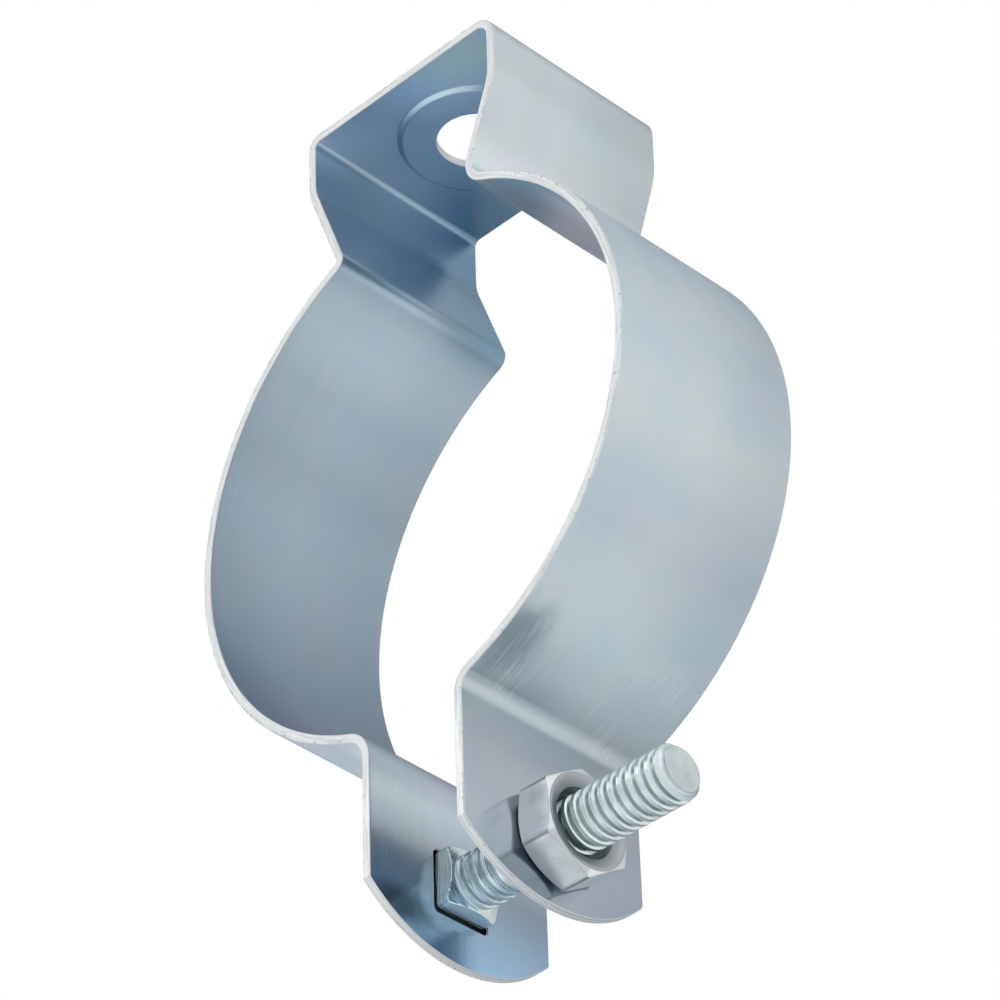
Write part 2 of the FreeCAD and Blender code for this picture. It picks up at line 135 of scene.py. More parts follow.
def setInputs(modifier, values):
    # a modifier's inputs are known by the sockets' identifiers
    for item in modifier.node_group.interface.items_tree:
        if item.item_type == "SOCKET" and item.in_out == "INPUT" and item.name in values:
            modifier[item.identifier] = values[item.name]


def dress(tree, geometry, material, end):
    # each Geometry Nodes tree ends in real meshes with their material
    real = addNode(tree, "GeometryNodeRealizeInstances", {0: geometry}).outputs[0]
    dressed = addNode(tree, "GeometryNodeSetMaterial", {"Geometry": real, "Material": material})
    tree.links.new(dressed.outputs[0], end)


def newObject(name, data):
    made = bpy.data.objects.new(name, data)
    scene.collection.objects.link(made)
    return made


def bakeModifiers(source, name):
    # the evaluated mesh becomes a plain object and the source is dropped
    graph = bpy.context.evaluated_depsgraph_get()
    graph.update()
    mesh = bpy.data.meshes.new_from_object(source.evaluated_get(graph))
    mesh.name = name
    plain = newObject(name, mesh)
    bpy.data.objects.remove(source)
    return plain


# shader node groups

def makeBloom():
    # slow drifts of tint in the zinc: a blue to grey drift, and faint rose and straw patches
    inputs = {"Scale": 60.0, "Amount": 1.0}
    tree, start, end = newGroup("zincBloom", "Shader", inputs, ["Drift", "Rose", "Straw"])
    where = objectPlace(tree)
    tree.links.new(noise(tree, where, start["Scale"], 3.0), end["Drift"])
    for label, factor, offset in (("Rose", 1.7, 3.1), ("Straw", 2.3, 7.7)):
        moved = vector(tree, "ADD", where, (offset, offset, offset))
        patch = ramp(tree, noise(tree, moved, product(tree, start["Scale"], factor)), 0.48, 0.7)
        tree.links.new(product(tree, patch, start["Amount"]), end[label])
    return tree


def makeGrain():
    # fine lines left by rolling or by the thread die: they change fast along one axis only
    inputs = {"Stretch": (60.0, 9000.0, 60.0)}
    tree, start, end = newGroup("rollingGrain", "Shader", inputs, ["Grain", "Fleck", "Speck"])
    where = objectPlace(tree)
    stretched = vector(tree, "MULTIPLY", where, start["Stretch"])
    tree.links.new(noise(tree, stretched, detail=4.0), end["Grain"])
    tree.links.new(noise(tree, where, 3800.0), end["Fleck"])
    tree.links.new(noise(tree, where, 1700.0, 3.0, Roughness=0.7), end["Speck"])
    return tree


def nearness(tree, where, centre, reach):
    # distance from a point, as a share of the reach along each axis
    return vector(tree, "LENGTH", vector(tree, "DIVIDE", vector(tree, "SUBTRACT", where, centre), reach))


def makePatch():
    # a soft-edged patch round a point, broken up a little at its border
    inputs = {"Centre": (0.0, 0.0, 0.0), "Reach": (0.01, 0.01, 0.01), "Ragged": 0.3}
    tree, start, end = newGroup("softPatch", "Shader", inputs, ["Mask"])
    where = objectPlace(tree)
    far = nearness(tree, where, start["Centre"], start["Reach"])
    torn = ramp(tree, noise(tree, where, 260.0, 3.0), 0.3, 0.7, -0.5, 0.5)
    border = total(tree, far, product(tree, torn, start["Ragged"]))
    tree.links.new(ramp(tree, border, 0.25, 1.0, 1.0, 0.0), end["Mask"])
    return tree


def makeRub():
    # bundles of short parallel scratches inside a soft-edged patch
    inputs = {"Centre": (0.0, 0.0, 0.0), "Reach": (0.004, 0.004, 0.004), "Lines": 5200.0, "Slant": 0.0}
    tree, start, end = newGroup("rubMarks", "Shader", inputs, ["Marks"])
    where = objectPlace(tree)
    within = ramp(tree, nearness(tree, where, start["Centre"], start["Reach"]), 0.55, 1.0, 1.0, 0.0)
    y, z = axes(tree, where)[1:]
    across = total(tree, y, product(tree, z, start["Slant"]))
    lane = join(tree, product(tree, across, start["Lines"]), product(tree, z, 260.0))
    tree.links.new(product(tree, ramp(tree, noise(tree, lane), 0.52, 0.64), within), end["Marks"])
    return tree


bloomGroup = makeBloom()
grainGroup = makeGrain()
rubGroup = makeRub()
patchGroup = makePatch()


def useGroup(tree, group, **values):
    return addNode(tree, "ShaderNodeGroup", values, node_tree=group).outputs


def mixColour(tree, factor, first, second):
    node = tree.nodes.new("ShaderNodeMix")
    node.data_type = "RGBA"
    for key, value in ((0, factor), (6, first), (7, second)):
        if isinstance(value, bpy.types.NodeSocket):
            tree.links.new(value, node.inputs[key])
        else:
            node.inputs[key].default_value = value if key == 0 else (*value, 1.0)
    return node.outputs[2]


def heightTint(tree, height, stops):
    # a colour for each height, the stops in millimetres from low to high
    lowest, highest = stops[0][0], stops[-1][0]
    node = tree.nodes.new("ShaderNodeValToRGB")
    tree.links.new(ramp(tree, height, lowest * mm, highest * mm, smooth=False), node.inputs[0])
    elements = node.color_ramp.elements
    for index, (level, colour) in enumerate(stops):
        ends = {0: elements[0], len(stops) - 1: elements[-1]}
        element = ends[index] if index in ends else elements.new((level - lowest) / (highest - lowest))
        element.color = (*colour, 1.0)
    return node.outputs[0]


def newMaterial(name):
    material = bpy.data.materials.new(name)
    material.use_nodes = True
    tree = material.node_tree
    tree.nodes.clear()
    shader = tree.nodes.new("ShaderNodeBsdfPrincipled")
    output = tree.nodes.new("ShaderNodeOutputMaterial")
    tree.links.new(shader.outputs[0], output.inputs[0])
    return material, tree, shader


# places and reaches of spots are in metres, as the shader sees them
strapFinish = {
    "blue": (0.71, 0.84, 0.92),
    "grey": (0.80, 0.89, 0.93),
    "rose": (0.82, 0.83, 0.91),
    "straw": (0.81, 0.90, 0.88),
    "bloomScale": 70.0,
    "bloomAmount": 0.4,
    "stretch": (60.0, 9000.0, 60.0),
    # rosy spots of the passivation by the right neck and the left bend: centre, reach
    "blush": (0.88, 0.82, 0.91),
    "blushSpots": [((0.014, 0, 0.031), (0.012, 0.016, 0.008)), ((-0.014, 0, -0.034), (0.012, 0.016, 0.006))],
    # painted light and shade by height on each face, darker and bluer in some stretches of the strip than in
    # others: height in mm and its tint
    "outerPaintedShading": [
        (-55, (0.52, 0.53, 0.57)), (-48, (0.62, 0.59, 0.62)), (-38, (0.55, 0.52, 0.54)),
        (-35, (0.58, 0.57, 0.56)), (-31.5, (0.90, 0.91, 0.90)), (-29, (0.94, 0.97, 0.96)),
        (-25, (0.79, 0.82, 0.81)), (-21, (0.71, 0.70, 0.72)), (-16, (0.70, 0.69, 0.70)),
        (-9, (0.77, 0.76, 0.74)), (-4, (0.77, 0.77, 0.77)), (2, (0.79, 0.80, 0.80)),
        (9, (0.84, 0.85, 0.86)), (15, (0.92, 0.95, 0.96)), (25, (0.98, 1.0, 1.0)),
        (31, (0.96, 0.98, 0.99)), (38, (0.74, 0.73, 0.72)), (52, (0.78, 0.77, 0.75)),
    ],
    "innerPaintedShading": [
        (-55, (0.48, 0.67, 0.85)), (-45, (0.41, 0.43, 0.47)), (-38, (0.73, 0.75, 0.77)),
        (-34, (0.62, 0.65, 0.68)), (-29, (0.40, 0.38, 0.46)), (-19, (0.39, 0.40, 0.50)),
        (-12, (0.35, 0.40, 0.47)), (-4, (0.38, 0.43, 0.48)), (5, (0.43, 0.48, 0.53)),
        (12, (0.47, 0.52, 0.56)), (17, (0.46, 0.51, 0.55)), (24, (0.60, 0.65, 0.69)),
        (28, (0.84, 0.88, 0.89)), (30, (0.83, 0.90, 0.92)), (32, (0.58, 0.68, 0.76)),
        (34, (0.50, 0.60, 0.71)), (46, (0.47, 0.57, 0.68)), (52, (0.59, 0.66, 0.74)),
    ],
    # painted shade: darker towards the far edge, and on the inner face of the left wall's far end
    "paintedFarShade": (0.82, 0.83, 0.85),
    "wallEnd": (0.22, 0.40, 0.53),
    "wallEndShadeShare": 0.7,
    # painted shade in spots, or painted light where the share is below 0: centre, reach, share
    "innerPaintedSpots": [
        ((0.0135, 0.0, 0.0300), (0.009, 0.018, 0.010), 0.45),  # painted shade under the right neck
        ((0.0085, -0.0135, 0.0520), (0.016, 0.013, 0.005), -0.7),  # painted light near corners of the crown
        ((-0.0100, -0.0135, 0.0520), (0.010, 0.010, 0.005), -0.3),
        ((-0.0135, 0.0140, 0.0460), (0.007, 0.0080, 0.0100), 0.62),  # painted shade at the far end of the left wall
        ((-0.0100, 0.0080, 0.0324), (0.005, 0.0120, 0.0020), 0.4),  # painted shade on the left neck
        ((-0.0062, -0.0085, -0.0518), (0.002, 0.0060, 0.0030), 0.6),  # painted shade on the left ear
    ],
    "outerPaintedSpots": [((-0.0110, 0.0, -0.0345), (0.010, 0.020, 0.004), -1.3)],  # painted light on the left bend
    "spotRagged": 0.05,
    "smear": (0.30, 0.36, 0.42),
    "smearSpot": ((0.0128, -0.0112, -0.0303), (0.0072, 0.0048, 0.0048), 0.72),
    "rubbed": (0.88, 0.90, 0.92),
    "rubSpots": [  # centre, reach, slant, share
        ((0.0116, -0.0080, -0.0309), (0.0065, 0.0046, 0.0044), 0.12, 1.0),
        ((0.0130, 0.0072, -0.0310), (0.0085, 0.0064, 0.0062), -0.1, 0.55),
    ],
    "rubLines": 7000.0,
    "rubShare": 0.75,
    "sheared": (0.80, 0.82, 0.82),
    "streak": (0.60, 0.62, 0.63),
    "speck": (0.48, 0.51, 0.53),
    # painted shade on the walls of the square hole and the ear hole
    "paintedHoleShade": (0.06, 0.07, 0.08),
    "roughness": 0.33,
    "shearedRoughness": 0.5,
    "earShine": 0.15,
    "relief": 0.00002,
}


def strapPaintedShading(tree, place, inside, outside):
    # painted light and shade: by height on either face, darker towards the far edge, and in spots
    look = strapFinish
    x, y, z = place
    shade = mixColour(tree, inside, *[heightTint(tree, z, look[side]) for side in ("outerPaintedShading", "innerPaintedShading")])
    far = mixColour(tree, ramp(tree, y, -0.004, 0.0127), (1.0, 1.0, 1.0), look["paintedFarShade"])
    shade = vector(tree, "MULTIPLY", shade, far)
    for face, spots in ((inside, look["innerPaintedSpots"]), (outside, look["outerPaintedSpots"])):
        for centre, reach, share in spots:
            spot = useGroup(tree, patchGroup, Centre=centre, Reach=reach, Ragged=look["spotRagged"])[0]
            shade = scaled(tree, shade, less(tree, 1.0, product(tree, spot, face, share)))
    # painted shade on the inner face of the left wall, growing towards its far end, down to just below the
    # neck
    wallEnd = product(tree, ramp(tree, y, 0.0, 0.0125), ramp(tree, z, 0.0290, 0.0335), inside)
    wallEnd = product(tree, wallEnd, ramp(tree, x, -0.004, -0.008), look["wallEndShadeShare"])
    return mixColour(tree, wallEnd, shade, look["wallEnd"])


def strapRubs(tree, outside):
    marks = []
    for centre, reach, slant, share in strapFinish["rubSpots"]:
        spot = {"Centre": centre, "Reach": reach, "Lines": strapFinish["rubLines"], "Slant": slant}
        marks.append(product(tree, useGroup(tree, rubGroup, **spot)[0], share))
    return product(tree, calc(tree, "MAXIMUM", *marks), outside, strapFinish["rubShare"])


def strapCut(tree, place, inside, speck):
    # the cut edge has streaks along it, and torn specks mostly by the outer lip
    look = strapFinish
    x, z = [product(tree, place[axis], 220.0) for axis in ("X", "Z")]
    lane = join(tree, x, product(tree, inside, 9.0), z)
    streaks = ramp(tree, noise(tree, lane), 0.46, 0.62, 0.0, 0.85)
    cut = mixColour(tree, streaks, look["sheared"], look["streak"])
    lip = ramp(tree, calc(tree, "ABSOLUTE", less(tree, inside, 0.16)), 0.03, 0.16, 0.13, 0.0)
    return mixColour(tree, ramp(tree, total(tree, speck, lip), 0.66, 0.73), cut, look["speck"])


def makeStrapMaterial():
    material, tree, shader = newMaterial("zincStrap")
    look = strapFinish
    drift, rose, straw = useGroup(tree, bloomGroup, Scale=look["bloomScale"], Amount=look["bloomAmount"])
    grain, fleck, speck = useGroup(tree, grainGroup, Stretch=look["stretch"])
    sheared, inside, paintedHoleShade = [attribute(tree, name) for name in ("sheared", "inside", "paintedHoleShade")]
    outside = less(tree, 1.0, inside)
    place = axes(tree, objectPlace(tree))
    rub = strapRubs(tree, outside)

    zinc = mixColour(tree, ramp(tree, drift, 0.35, 0.65), look["blue"], look["grey"])
    zinc = mixColour(tree, rose, zinc, look["rose"])
    zinc = mixColour(tree, straw, zinc, look["straw"])
    for centre, reach in look["blushSpots"]:
        zinc = mixColour(tree, useGroup(tree, patchGroup, Centre=centre, Reach=reach)[0], zinc, look["blush"])
    zinc = vector(tree, "MULTIPLY", zinc, strapPaintedShading(tree, place, inside, outside))
    centre, reach, share = look["smearSpot"]
    smear = product(tree, useGroup(tree, patchGroup, Centre=centre, Reach=reach)[0], outside, share)
    zinc = mixColour(tree, smear, zinc, look["smear"])
    zinc = mixColour(tree, rub, zinc, look["rubbed"])
    colour = mixColour(tree, sheared, zinc, strapCut(tree, place, inside, speck))
    # painted shade on the walls of the square hole and the ear hole goes over all
    tree.links.new(mixColour(tree, paintedHoleShade, colour, look["paintedHoleShade"]), shader.inputs["Base Color"])

    lines, bands = [ramp(tree, mask, 0.3, 0.7, -0.03, 0.03) for mask in (grain, drift)]
    rough = total(tree, lines, look["roughness"], bands)
    earShine = ramp(tree, place["Z"], -0.036, -0.040, 0.0, look["earShine"])
    rough = less(tree, rough, earShine)
    rough = total(tree, rough, product(tree, sheared, look["shearedRoughness"] - look["roughness"]))
    tree.links.new(rough, shader.inputs["Roughness"])
    tree.links.new(less(tree, 1.0, product(tree, sheared, 0.5)), shader.inputs["Metallic"])
    fine = less(tree, product(tree, total(tree, grain, fleck), 0.5), rub)
    height = total(tree, fine, product(tree, speck, sheared, 3.0))
    bump = addNode(tree, "ShaderNodeBump", {"Height": height, "Strength": 0.3, "Distance": look["relief"]})
    tree.links.new(bump.outputs[0], shader.inputs["Normal"])
    return material


hardwareFinish = {
    "bolt": {
        "bright": (0.84, 0.93, 0.93), "darkTone": (0.69, 0.78, 0.79), "roughness": 0.18,
        "stretch": (6000.0, 220.0, 220.0), "relief": 0.00026,
    },
    "nut": {
        "bright": (0.96, 0.99, 0.97), "darkTone": (0.92, 0.98, 0.99), "roughness": 0.33,
        "stretch": (420.0, 420.0, 420.0), "relief": 0.00002,
    },
    "bloomScale": 260.0,
    "bloomAmount": 0.45,
    "straw": (0.74, 0.78, 0.73),
    # laid over the zinc where the piece's own mask of that name says: colour, share
    "masks": {
        # the front face's tint is painted shade; the dirt mask is dirt along the nut's borders and corners
        # and painted shade in grooves, bore, dish, end face and one flat
        "frontFaceShade": ((0.36, 0.38, 0.39), 0.9),
        "bevel": ((0.66, 0.66, 0.64), 0.4),
        "dirt": ((0.10, 0.14, 0.15), 0.8),
    },
}


def makeHardwareMaterial(name, look):
    material, tree, shader = newMaterial(name)
    finish = hardwareFinish
    bloom = useGroup(tree, bloomGroup, Scale=finish["bloomScale"], Amount=finish["bloomAmount"])
    grain = useGroup(tree, grainGroup, Stretch=look["stretch"])["Grain"]
    zinc = mixColour(tree, ramp(tree, bloom["Drift"], 0.35, 0.65), look["darkTone"], look["bright"])
    zinc = mixColour(tree, bloom["Straw"], zinc, finish["straw"])
    for mask, (tint, share) in finish["masks"].items():
        zinc = mixColour(tree, product(tree, attribute(tree, mask), share), zinc, tint)
    tree.links.new(zinc, shader.inputs["Base Color"])
    rough = total(tree, ramp(tree, grain, 0.3, 0.7, -0.06, 0.08), look["roughness"])
    tree.links.new(rough, shader.inputs["Roughness"])
    shader.inputs["Metallic"].default_value = 1.0
    bump = addNode(tree, "ShaderNodeBump", {"Height": grain, "Strength": 0.3, "Distance": look["relief"]})
    tree.links.new(bump.outputs[0], shader.inputs["Normal"])
    return material


strapMaterial = makeStrapMaterial()
boltMaterial = makeHardwareMaterial("zincBolt", hardwareFinish["bolt"])
nutMaterial = makeHardwareMaterial("zincNut", hardwareFinish["nut"])
print("materials made")


# the folded strap: a flat pierced blank, folded along a line by Geometry Nodes

strap = {
    "width": 25.4,
    "sheet": 1.05,
    "crownHeight": 51.95,
    "crownHalf": 13.7,
    "earHalf": 6.2,
    "earBulge": 5.33,
    "earCorners": {"rightNear": 0.25, "rightFar": 0.8, "leftFar": 0.25, "leftNear": 0.25},
    "holeAcross": 9.0,
    "holeShift": (-0.7, 0.1),
    "bossAcross": 18.0,
    "bossStep": 0.35,
    "bossSlope": 0.62,
    "squareHole": 7.4,
    "squareCorner": 0.5,
    "squareHeight": 46.8,
    "earHoleAcross": 7.9,
    "earHoleHeight": 46.497,
    "edgeRound": 0.13,
    "cutShine": (1.0, 1.0, 0.0, 0.4),  # bare bright cut: outline, crown hole, square hole, ear hole; less of it in the square and ear holes, whose walls are darkened as painted shade
    "cutPaintedShade": (0.0, 0.0, 1.0, 0.6),  # painted shade in the same cuts
    "right": {
        "wall": 6.1, "slant": 20.47, "kink": 9.0, "neck": 2.6, "ring": 33.55,
        "ringShift": 2.9, "bend": 2.0, "earEnd": 54.9, "corner": 1.8,
    },
    "left": {
        "wall": 6.15, "slant": 19.8, "kink": 6.0, "neck": 0.6, "ring": 34.0,
        "ringShift": 3.35, "bend": 3.4, "earEnd": 55.7, "corner": 0.8,
    },
}
# how finely the blank is divided: millimetres on straight runs, degrees on the folds
blankGrid = {
    "across": 20,
    "wallStep": 1.6,
    "earStep": 1.2,
    "holeStep": 0.6,
    "foldSteps": {"corner": 6, "kink": 4, "neck": 5, "ring": 2.5, "bend": 5},
    "flatBeside": 0.12,  # a station this close to each fold stops its shading
    "flatCut": 0.08,  # and a row of points this close to each rounded cut
    "clear": 0.45,  # grid points stay this far from the cuts
    "clearBoss": 1.0,  # and from the boss
    "clearEnd": 0.3,  # the long edges' points stop this short of the ears' rounded ends
    "overrun": 0.5,  # the fold line goes on past each ear
    "spokes": 96,
    "earSpokes": 72,
    # radii of the rings of points for a boss of 9 mm radius, close together on its slope
    "ringsFor": 9.0,
    "rings": (5.2, 6.2, 7.2, 7.9, 8.2, 8.3, 8.36, 8.42, 8.5, 8.7, 8.9, 8.98, 9.04, 9.1, 9.2, 9.5, 9.8),
}


def arcPoints(centre, radius, first, last, step):
    # points along an arc in degrees, without its first point
    count = max(2, math.ceil(abs(last - first) / step))
    angles = [math.radians(first + (last - first) * i / count) for i in range(1, count + 1)]
    return [(centre[0] + radius * math.cos(a), centre[1] + radius * math.sin(a)) for a in angles]


def linePoints(first, last, step):
    count = max(1, math.ceil(math.dist(first, last) / step))
    dx, dz = last[0] - first[0], last[1] - first[1]
    return [(first[0] + dx * i / count, first[1] + dz * i / count) for i in range(1, count + 1)]


def straight(first, last, step):
    # a line with a station just inside each end, where the shading of the neighbouring bend stops
    share = blankGrid["flatBeside"] / math.dist(first, last)
    start = (first[0] + (last[0] - first[0]) * share, first[1] + (last[1] - first[1]) * share)
    end = (last[0] + (first[0] - last[0]) * share, last[1] + (first[1] - last[1]) * share)
    return [start] + linePoints(start, end, step) + [last]


def sidePath(side):
    # inside line of one half, from the crown's corner down to the end of the ear, on the positive side
    sheet, half, corner = strap["sheet"], strap["crownHalf"], side["corner"]
    wallEnd = strap["crownHeight"] - side["wall"]
    slant = math.radians(side["slant"])
    neck, bend = side["neck"] + sheet, side["bend"] + sheet
    ring, shift = side["ring"], side["ringShift"]
    kinkCentre = (half - side["kink"], wallEnd)
    kinkEnd = (kinkCentre[0] + side["kink"] * math.cos(slant), wallEnd - side["kink"] * math.sin(slant))
    down, out = (-math.sin(slant), -math.cos(slant)), (math.cos(slant), -math.sin(slant))
    # the neck's centre lies on a line beside the slanted wall, where its arc also meets the ring
    base = (kinkEnd[0] + neck * out[0] + shift, kinkEnd[1] + neck * out[1])
    along = base[0] * down[0] + base[1] * down[1]
    run = -along - math.sqrt(along ** 2 - base[0] ** 2 - base[1] ** 2 + (ring + neck) ** 2)
    neckCentre = (base[0] - shift + run * down[0], base[1] + run * down[1])
    neckStart = (neckCentre[0] - neck * out[0], neckCentre[1] - neck * out[1])
    neckTurn = math.degrees(math.atan2(neckCentre[1], neckCentre[0] + shift))
    bendX = strap["earHalf"] + bend
    bendZ = -math.sqrt((ring + bend) ** 2 - (bendX + shift) ** 2)
    bendTurn = math.degrees(math.atan2(bendZ, bendX + shift))
    steps, wallStep = blankGrid["foldSteps"], blankGrid["wallStep"]
    points = [(half - corner, strap["crownHeight"])]
    points += arcPoints((half - corner, strap["crownHeight"] - corner), corner, 90, 0, steps["corner"])
    points += straight(points[-1], (half, wallEnd), wallStep)
    points += arcPoints(kinkCentre, side["kink"], 0, -side["slant"], steps["kink"])
    points += straight(points[-1], neckStart, wallStep)
    points += arcPoints(neckCentre, neck, 180 - side["slant"], 180 + neckTurn, steps["neck"])
    points += arcPoints((-shift, 0), ring, neckTurn, bendTurn, steps["ring"])
    points += arcPoints((bendX, bendZ), bend, 180 + bendTurn, 180, steps["bend"])
    earTop = len(points) - 1
    earEnd = (strap["earHalf"], -side["earEnd"] - blankGrid["overrun"])
    points += straight(points[-1], earEnd, blankGrid["earStep"])
    return points, earTop


def roundCorner(points, corner, radius):
    # replaces the corner nearest to a point by a small arc
    index = min(range(len(points)), key=lambda i: math.dist(points[i], corner))
    tip = Vector(points[index])
    before, after = Vector(points[index - 1]), Vector(points[(index + 1) % len(points)])
    inward, outward = (tip - before).normalized(), (after - tip).normalized()
    turn = inward.angle(outward)
    cut = radius * math.tan(turn / 2)
    first, last = tip - inward * cut, tip + outward * cut
    middle = ((first + last) / 2 - tip).normalized()
    centre = tip + middle * (radius / math.cos(turn / 2))
    arc = []
    for i in range(9):
        spoke = (first - centre).lerp(last - centre, i / 8).normalized() * radius
        arc.append(tuple(centre + spoke))
    # points under the arc, or hardly beyond it, go
    parts = (points[:index], points[index + 1:])
    kept = [[p for p in part if math.dist(p, tip) > cut + 0.06] for part in parts]
    return kept[0] + arc + kept[1]


def roundHole(centre, across, count):
    turn = [-2 * math.pi * i / count for i in range(count)]
    return [(centre[0] + across / 2 * math.cos(a), centre[1] + across / 2 * math.sin(a)) for a in turn]


def squareHole(centre, side, corner):
    reach, loop = side / 2 - corner, []
    for quarter, (sx, sy) in enumerate([(1, -1), (-1, -1), (-1, 1), (1, 1)]):
        x, y = centre[0] + sx * reach, centre[1] + sy * reach
        for i in range(7):
            angle = -math.pi / 2 * (quarter + i / 6)
            loop.append((x + corner * math.cos(angle), y + corner * math.sin(angle)))
    full = []
    for a, b in zip(loop, loop[1:] + loop[:1]):
        full.append(a)
        full += linePoints(a, b, blankGrid["holeStep"])[:-1]
    return full


def inset(loop, distance):
    # moves a closed loop to its left, which is into the sheet
    points = np.array(loop)
    before, after = points - np.roll(points, 1, axis=0), np.roll(points, -1, axis=0) - points
    before /= np.linalg.norm(before, axis=1)[:, None]
    after /= np.linalg.norm(after, axis=1)[:, None]
    tangent = before + after
    tangent /= np.linalg.norm(tangent, axis=1)[:, None]
    stretch = 1 / np.maximum((tangent * after).sum(axis=1), 0.5)
    normal = np.stack([-tangent[:, 1], tangent[:, 0]], axis=1)
    return points + normal * (distance * stretch)[:, None]


def farFrom(points, loop, distance):
    gaps = np.sqrt(((points[:, None, :] - np.array(loop)[None, :, :]) ** 2).sum(axis=2)).min(axis=1)
    return gaps > distance


def insideLoop(points, loop):
    # even-odd test
    loop = np.array(loop)
    following = np.roll(loop, -1, axis=0)
    result = np.zeros(len(points), bool)
    for (ax, ay), (bx, by) in zip(loop, following):
        crosses = (points[:, 1] < ay) != (points[:, 1] < by)
        if ay != by:
            result ^= crosses & (points[:, 0] < (bx - ax) * (points[:, 1] - ay) / (by - ay) + ax)
    return result


def layOut():
    # the fold line, its stations, the crown hole's centre, and the blank's loops with lengths along it first
    rightSide, rightEar = sidePath(strap["right"])
    leftSide, leftEar = sidePath(strap["left"])
    flat = straight((-leftSide[0][0], leftSide[0][1]), rightSide[0], blankGrid["wallStep"])[:-1]
    path = [(-x, z) for x, z in reversed(leftSide)] + flat + rightSide
    steps = [math.dist(a, b) for a, b in zip(path, path[1:])]
    stations = np.concatenate([[0.0], np.cumsum(steps)])
    leftTop = len(leftSide) - 1 - leftEar
    rightTop = len(path) - len(rightSide) + rightEar
    crownMiddle = stations[len(leftSide) - 1] + leftSide[0][0]
    crownCentre = (crownMiddle + strap["holeShift"][0], strap["holeShift"][1])

    def onLeft(z):
        return stations[leftTop] - (path[leftTop][1] - z)

    def onRight(z):
        return stations[rightTop] + (path[rightTop][1] - z)

    half, bulge = strap["width"] / 2, strap["earBulge"]
    radius = (half ** 2 + bulge ** 2) / (2 * bulge)

    def endHeight(y, side):
        return radius - side["earEnd"] - math.sqrt(radius ** 2 - y ** 2)

    arcY = [half * math.sin(math.pi / 2 * i / 24) for i in range(-24, 25)]
    rightArc = [(onRight(endHeight(y, strap["right"])), y) for y in arcY]
    leftArc = [(onLeft(endHeight(y, strap["left"])), y) for y in reversed(arcY)]
    lowest, highest = leftArc[-1][0] + blankGrid["clearEnd"], rightArc[0][0] - blankGrid["clearEnd"]
    lower = [(s, -half) for s in stations if lowest < s < highest]
    upper = [(s, half) for s, y in reversed(lower)]
    outline = rightArc + upper + leftArc + lower
    tips = (rightArc[0], rightArc[-1], leftArc[0], leftArc[-1])
    for tip, name in zip(tips, ("rightNear", "rightFar", "leftFar", "leftNear")):
        outline = roundCorner(outline, tip, strap["earCorners"][name])
    loops = [
        outline,
        roundHole(crownCentre, strap["holeAcross"], blankGrid["spokes"]),
        squareHole((onLeft(-strap["squareHeight"]), 0.0), strap["squareHole"], strap["squareCorner"]),
        roundHole((onRight(-strap["earHoleHeight"]), 0.0), strap["earHoleAcross"], blankGrid["earSpokes"]),
    ]
    return path, stations, crownCentre, loops


def innerPoints(stations, centre, loops, firstLoops):
    # a grid on the fold's stations, rings round the boss, and rows that keep the faces flat beside the cuts
    half, across = strap["width"] / 2, blankGrid["across"]
    rows = [half * (2 * i / across - 1) for i in range(1, across)]
    grid = np.array([(s, y) for s in stations for y in rows])
    grid = grid[insideLoop(grid, loops[0])]
    for loop in firstLoops[2:]:
        grid = grid[~insideLoop(grid, loop)]
    for loop in [loops[0]] + firstLoops[2:]:
        grid = grid[farFrom(grid, loop, blankGrid["clear"])]
    boss = strap["bossAcross"] / 2
    fromBoss = np.hypot(grid[:, 0] - centre[0], grid[:, 1] - centre[1])
    grid = grid[fromBoss > boss + blankGrid["clearBoss"]]
    turn = np.arange(blankGrid["spokes"]) * 2 * math.pi / blankGrid["spokes"]
    rings = []
    for radius in blankGrid["rings"]:
        reach = radius * boss / blankGrid["ringsFor"]
        x, y = centre[0] + reach * np.cos(turn), centre[1] + reach * np.sin(turn)
        rings.append(np.stack([x, y], axis=1))
    guards = [inset(loop, strap["edgeRound"] + blankGrid["flatCut"]) for loop in loops]
    return np.concatenate([grid] + rings + guards)


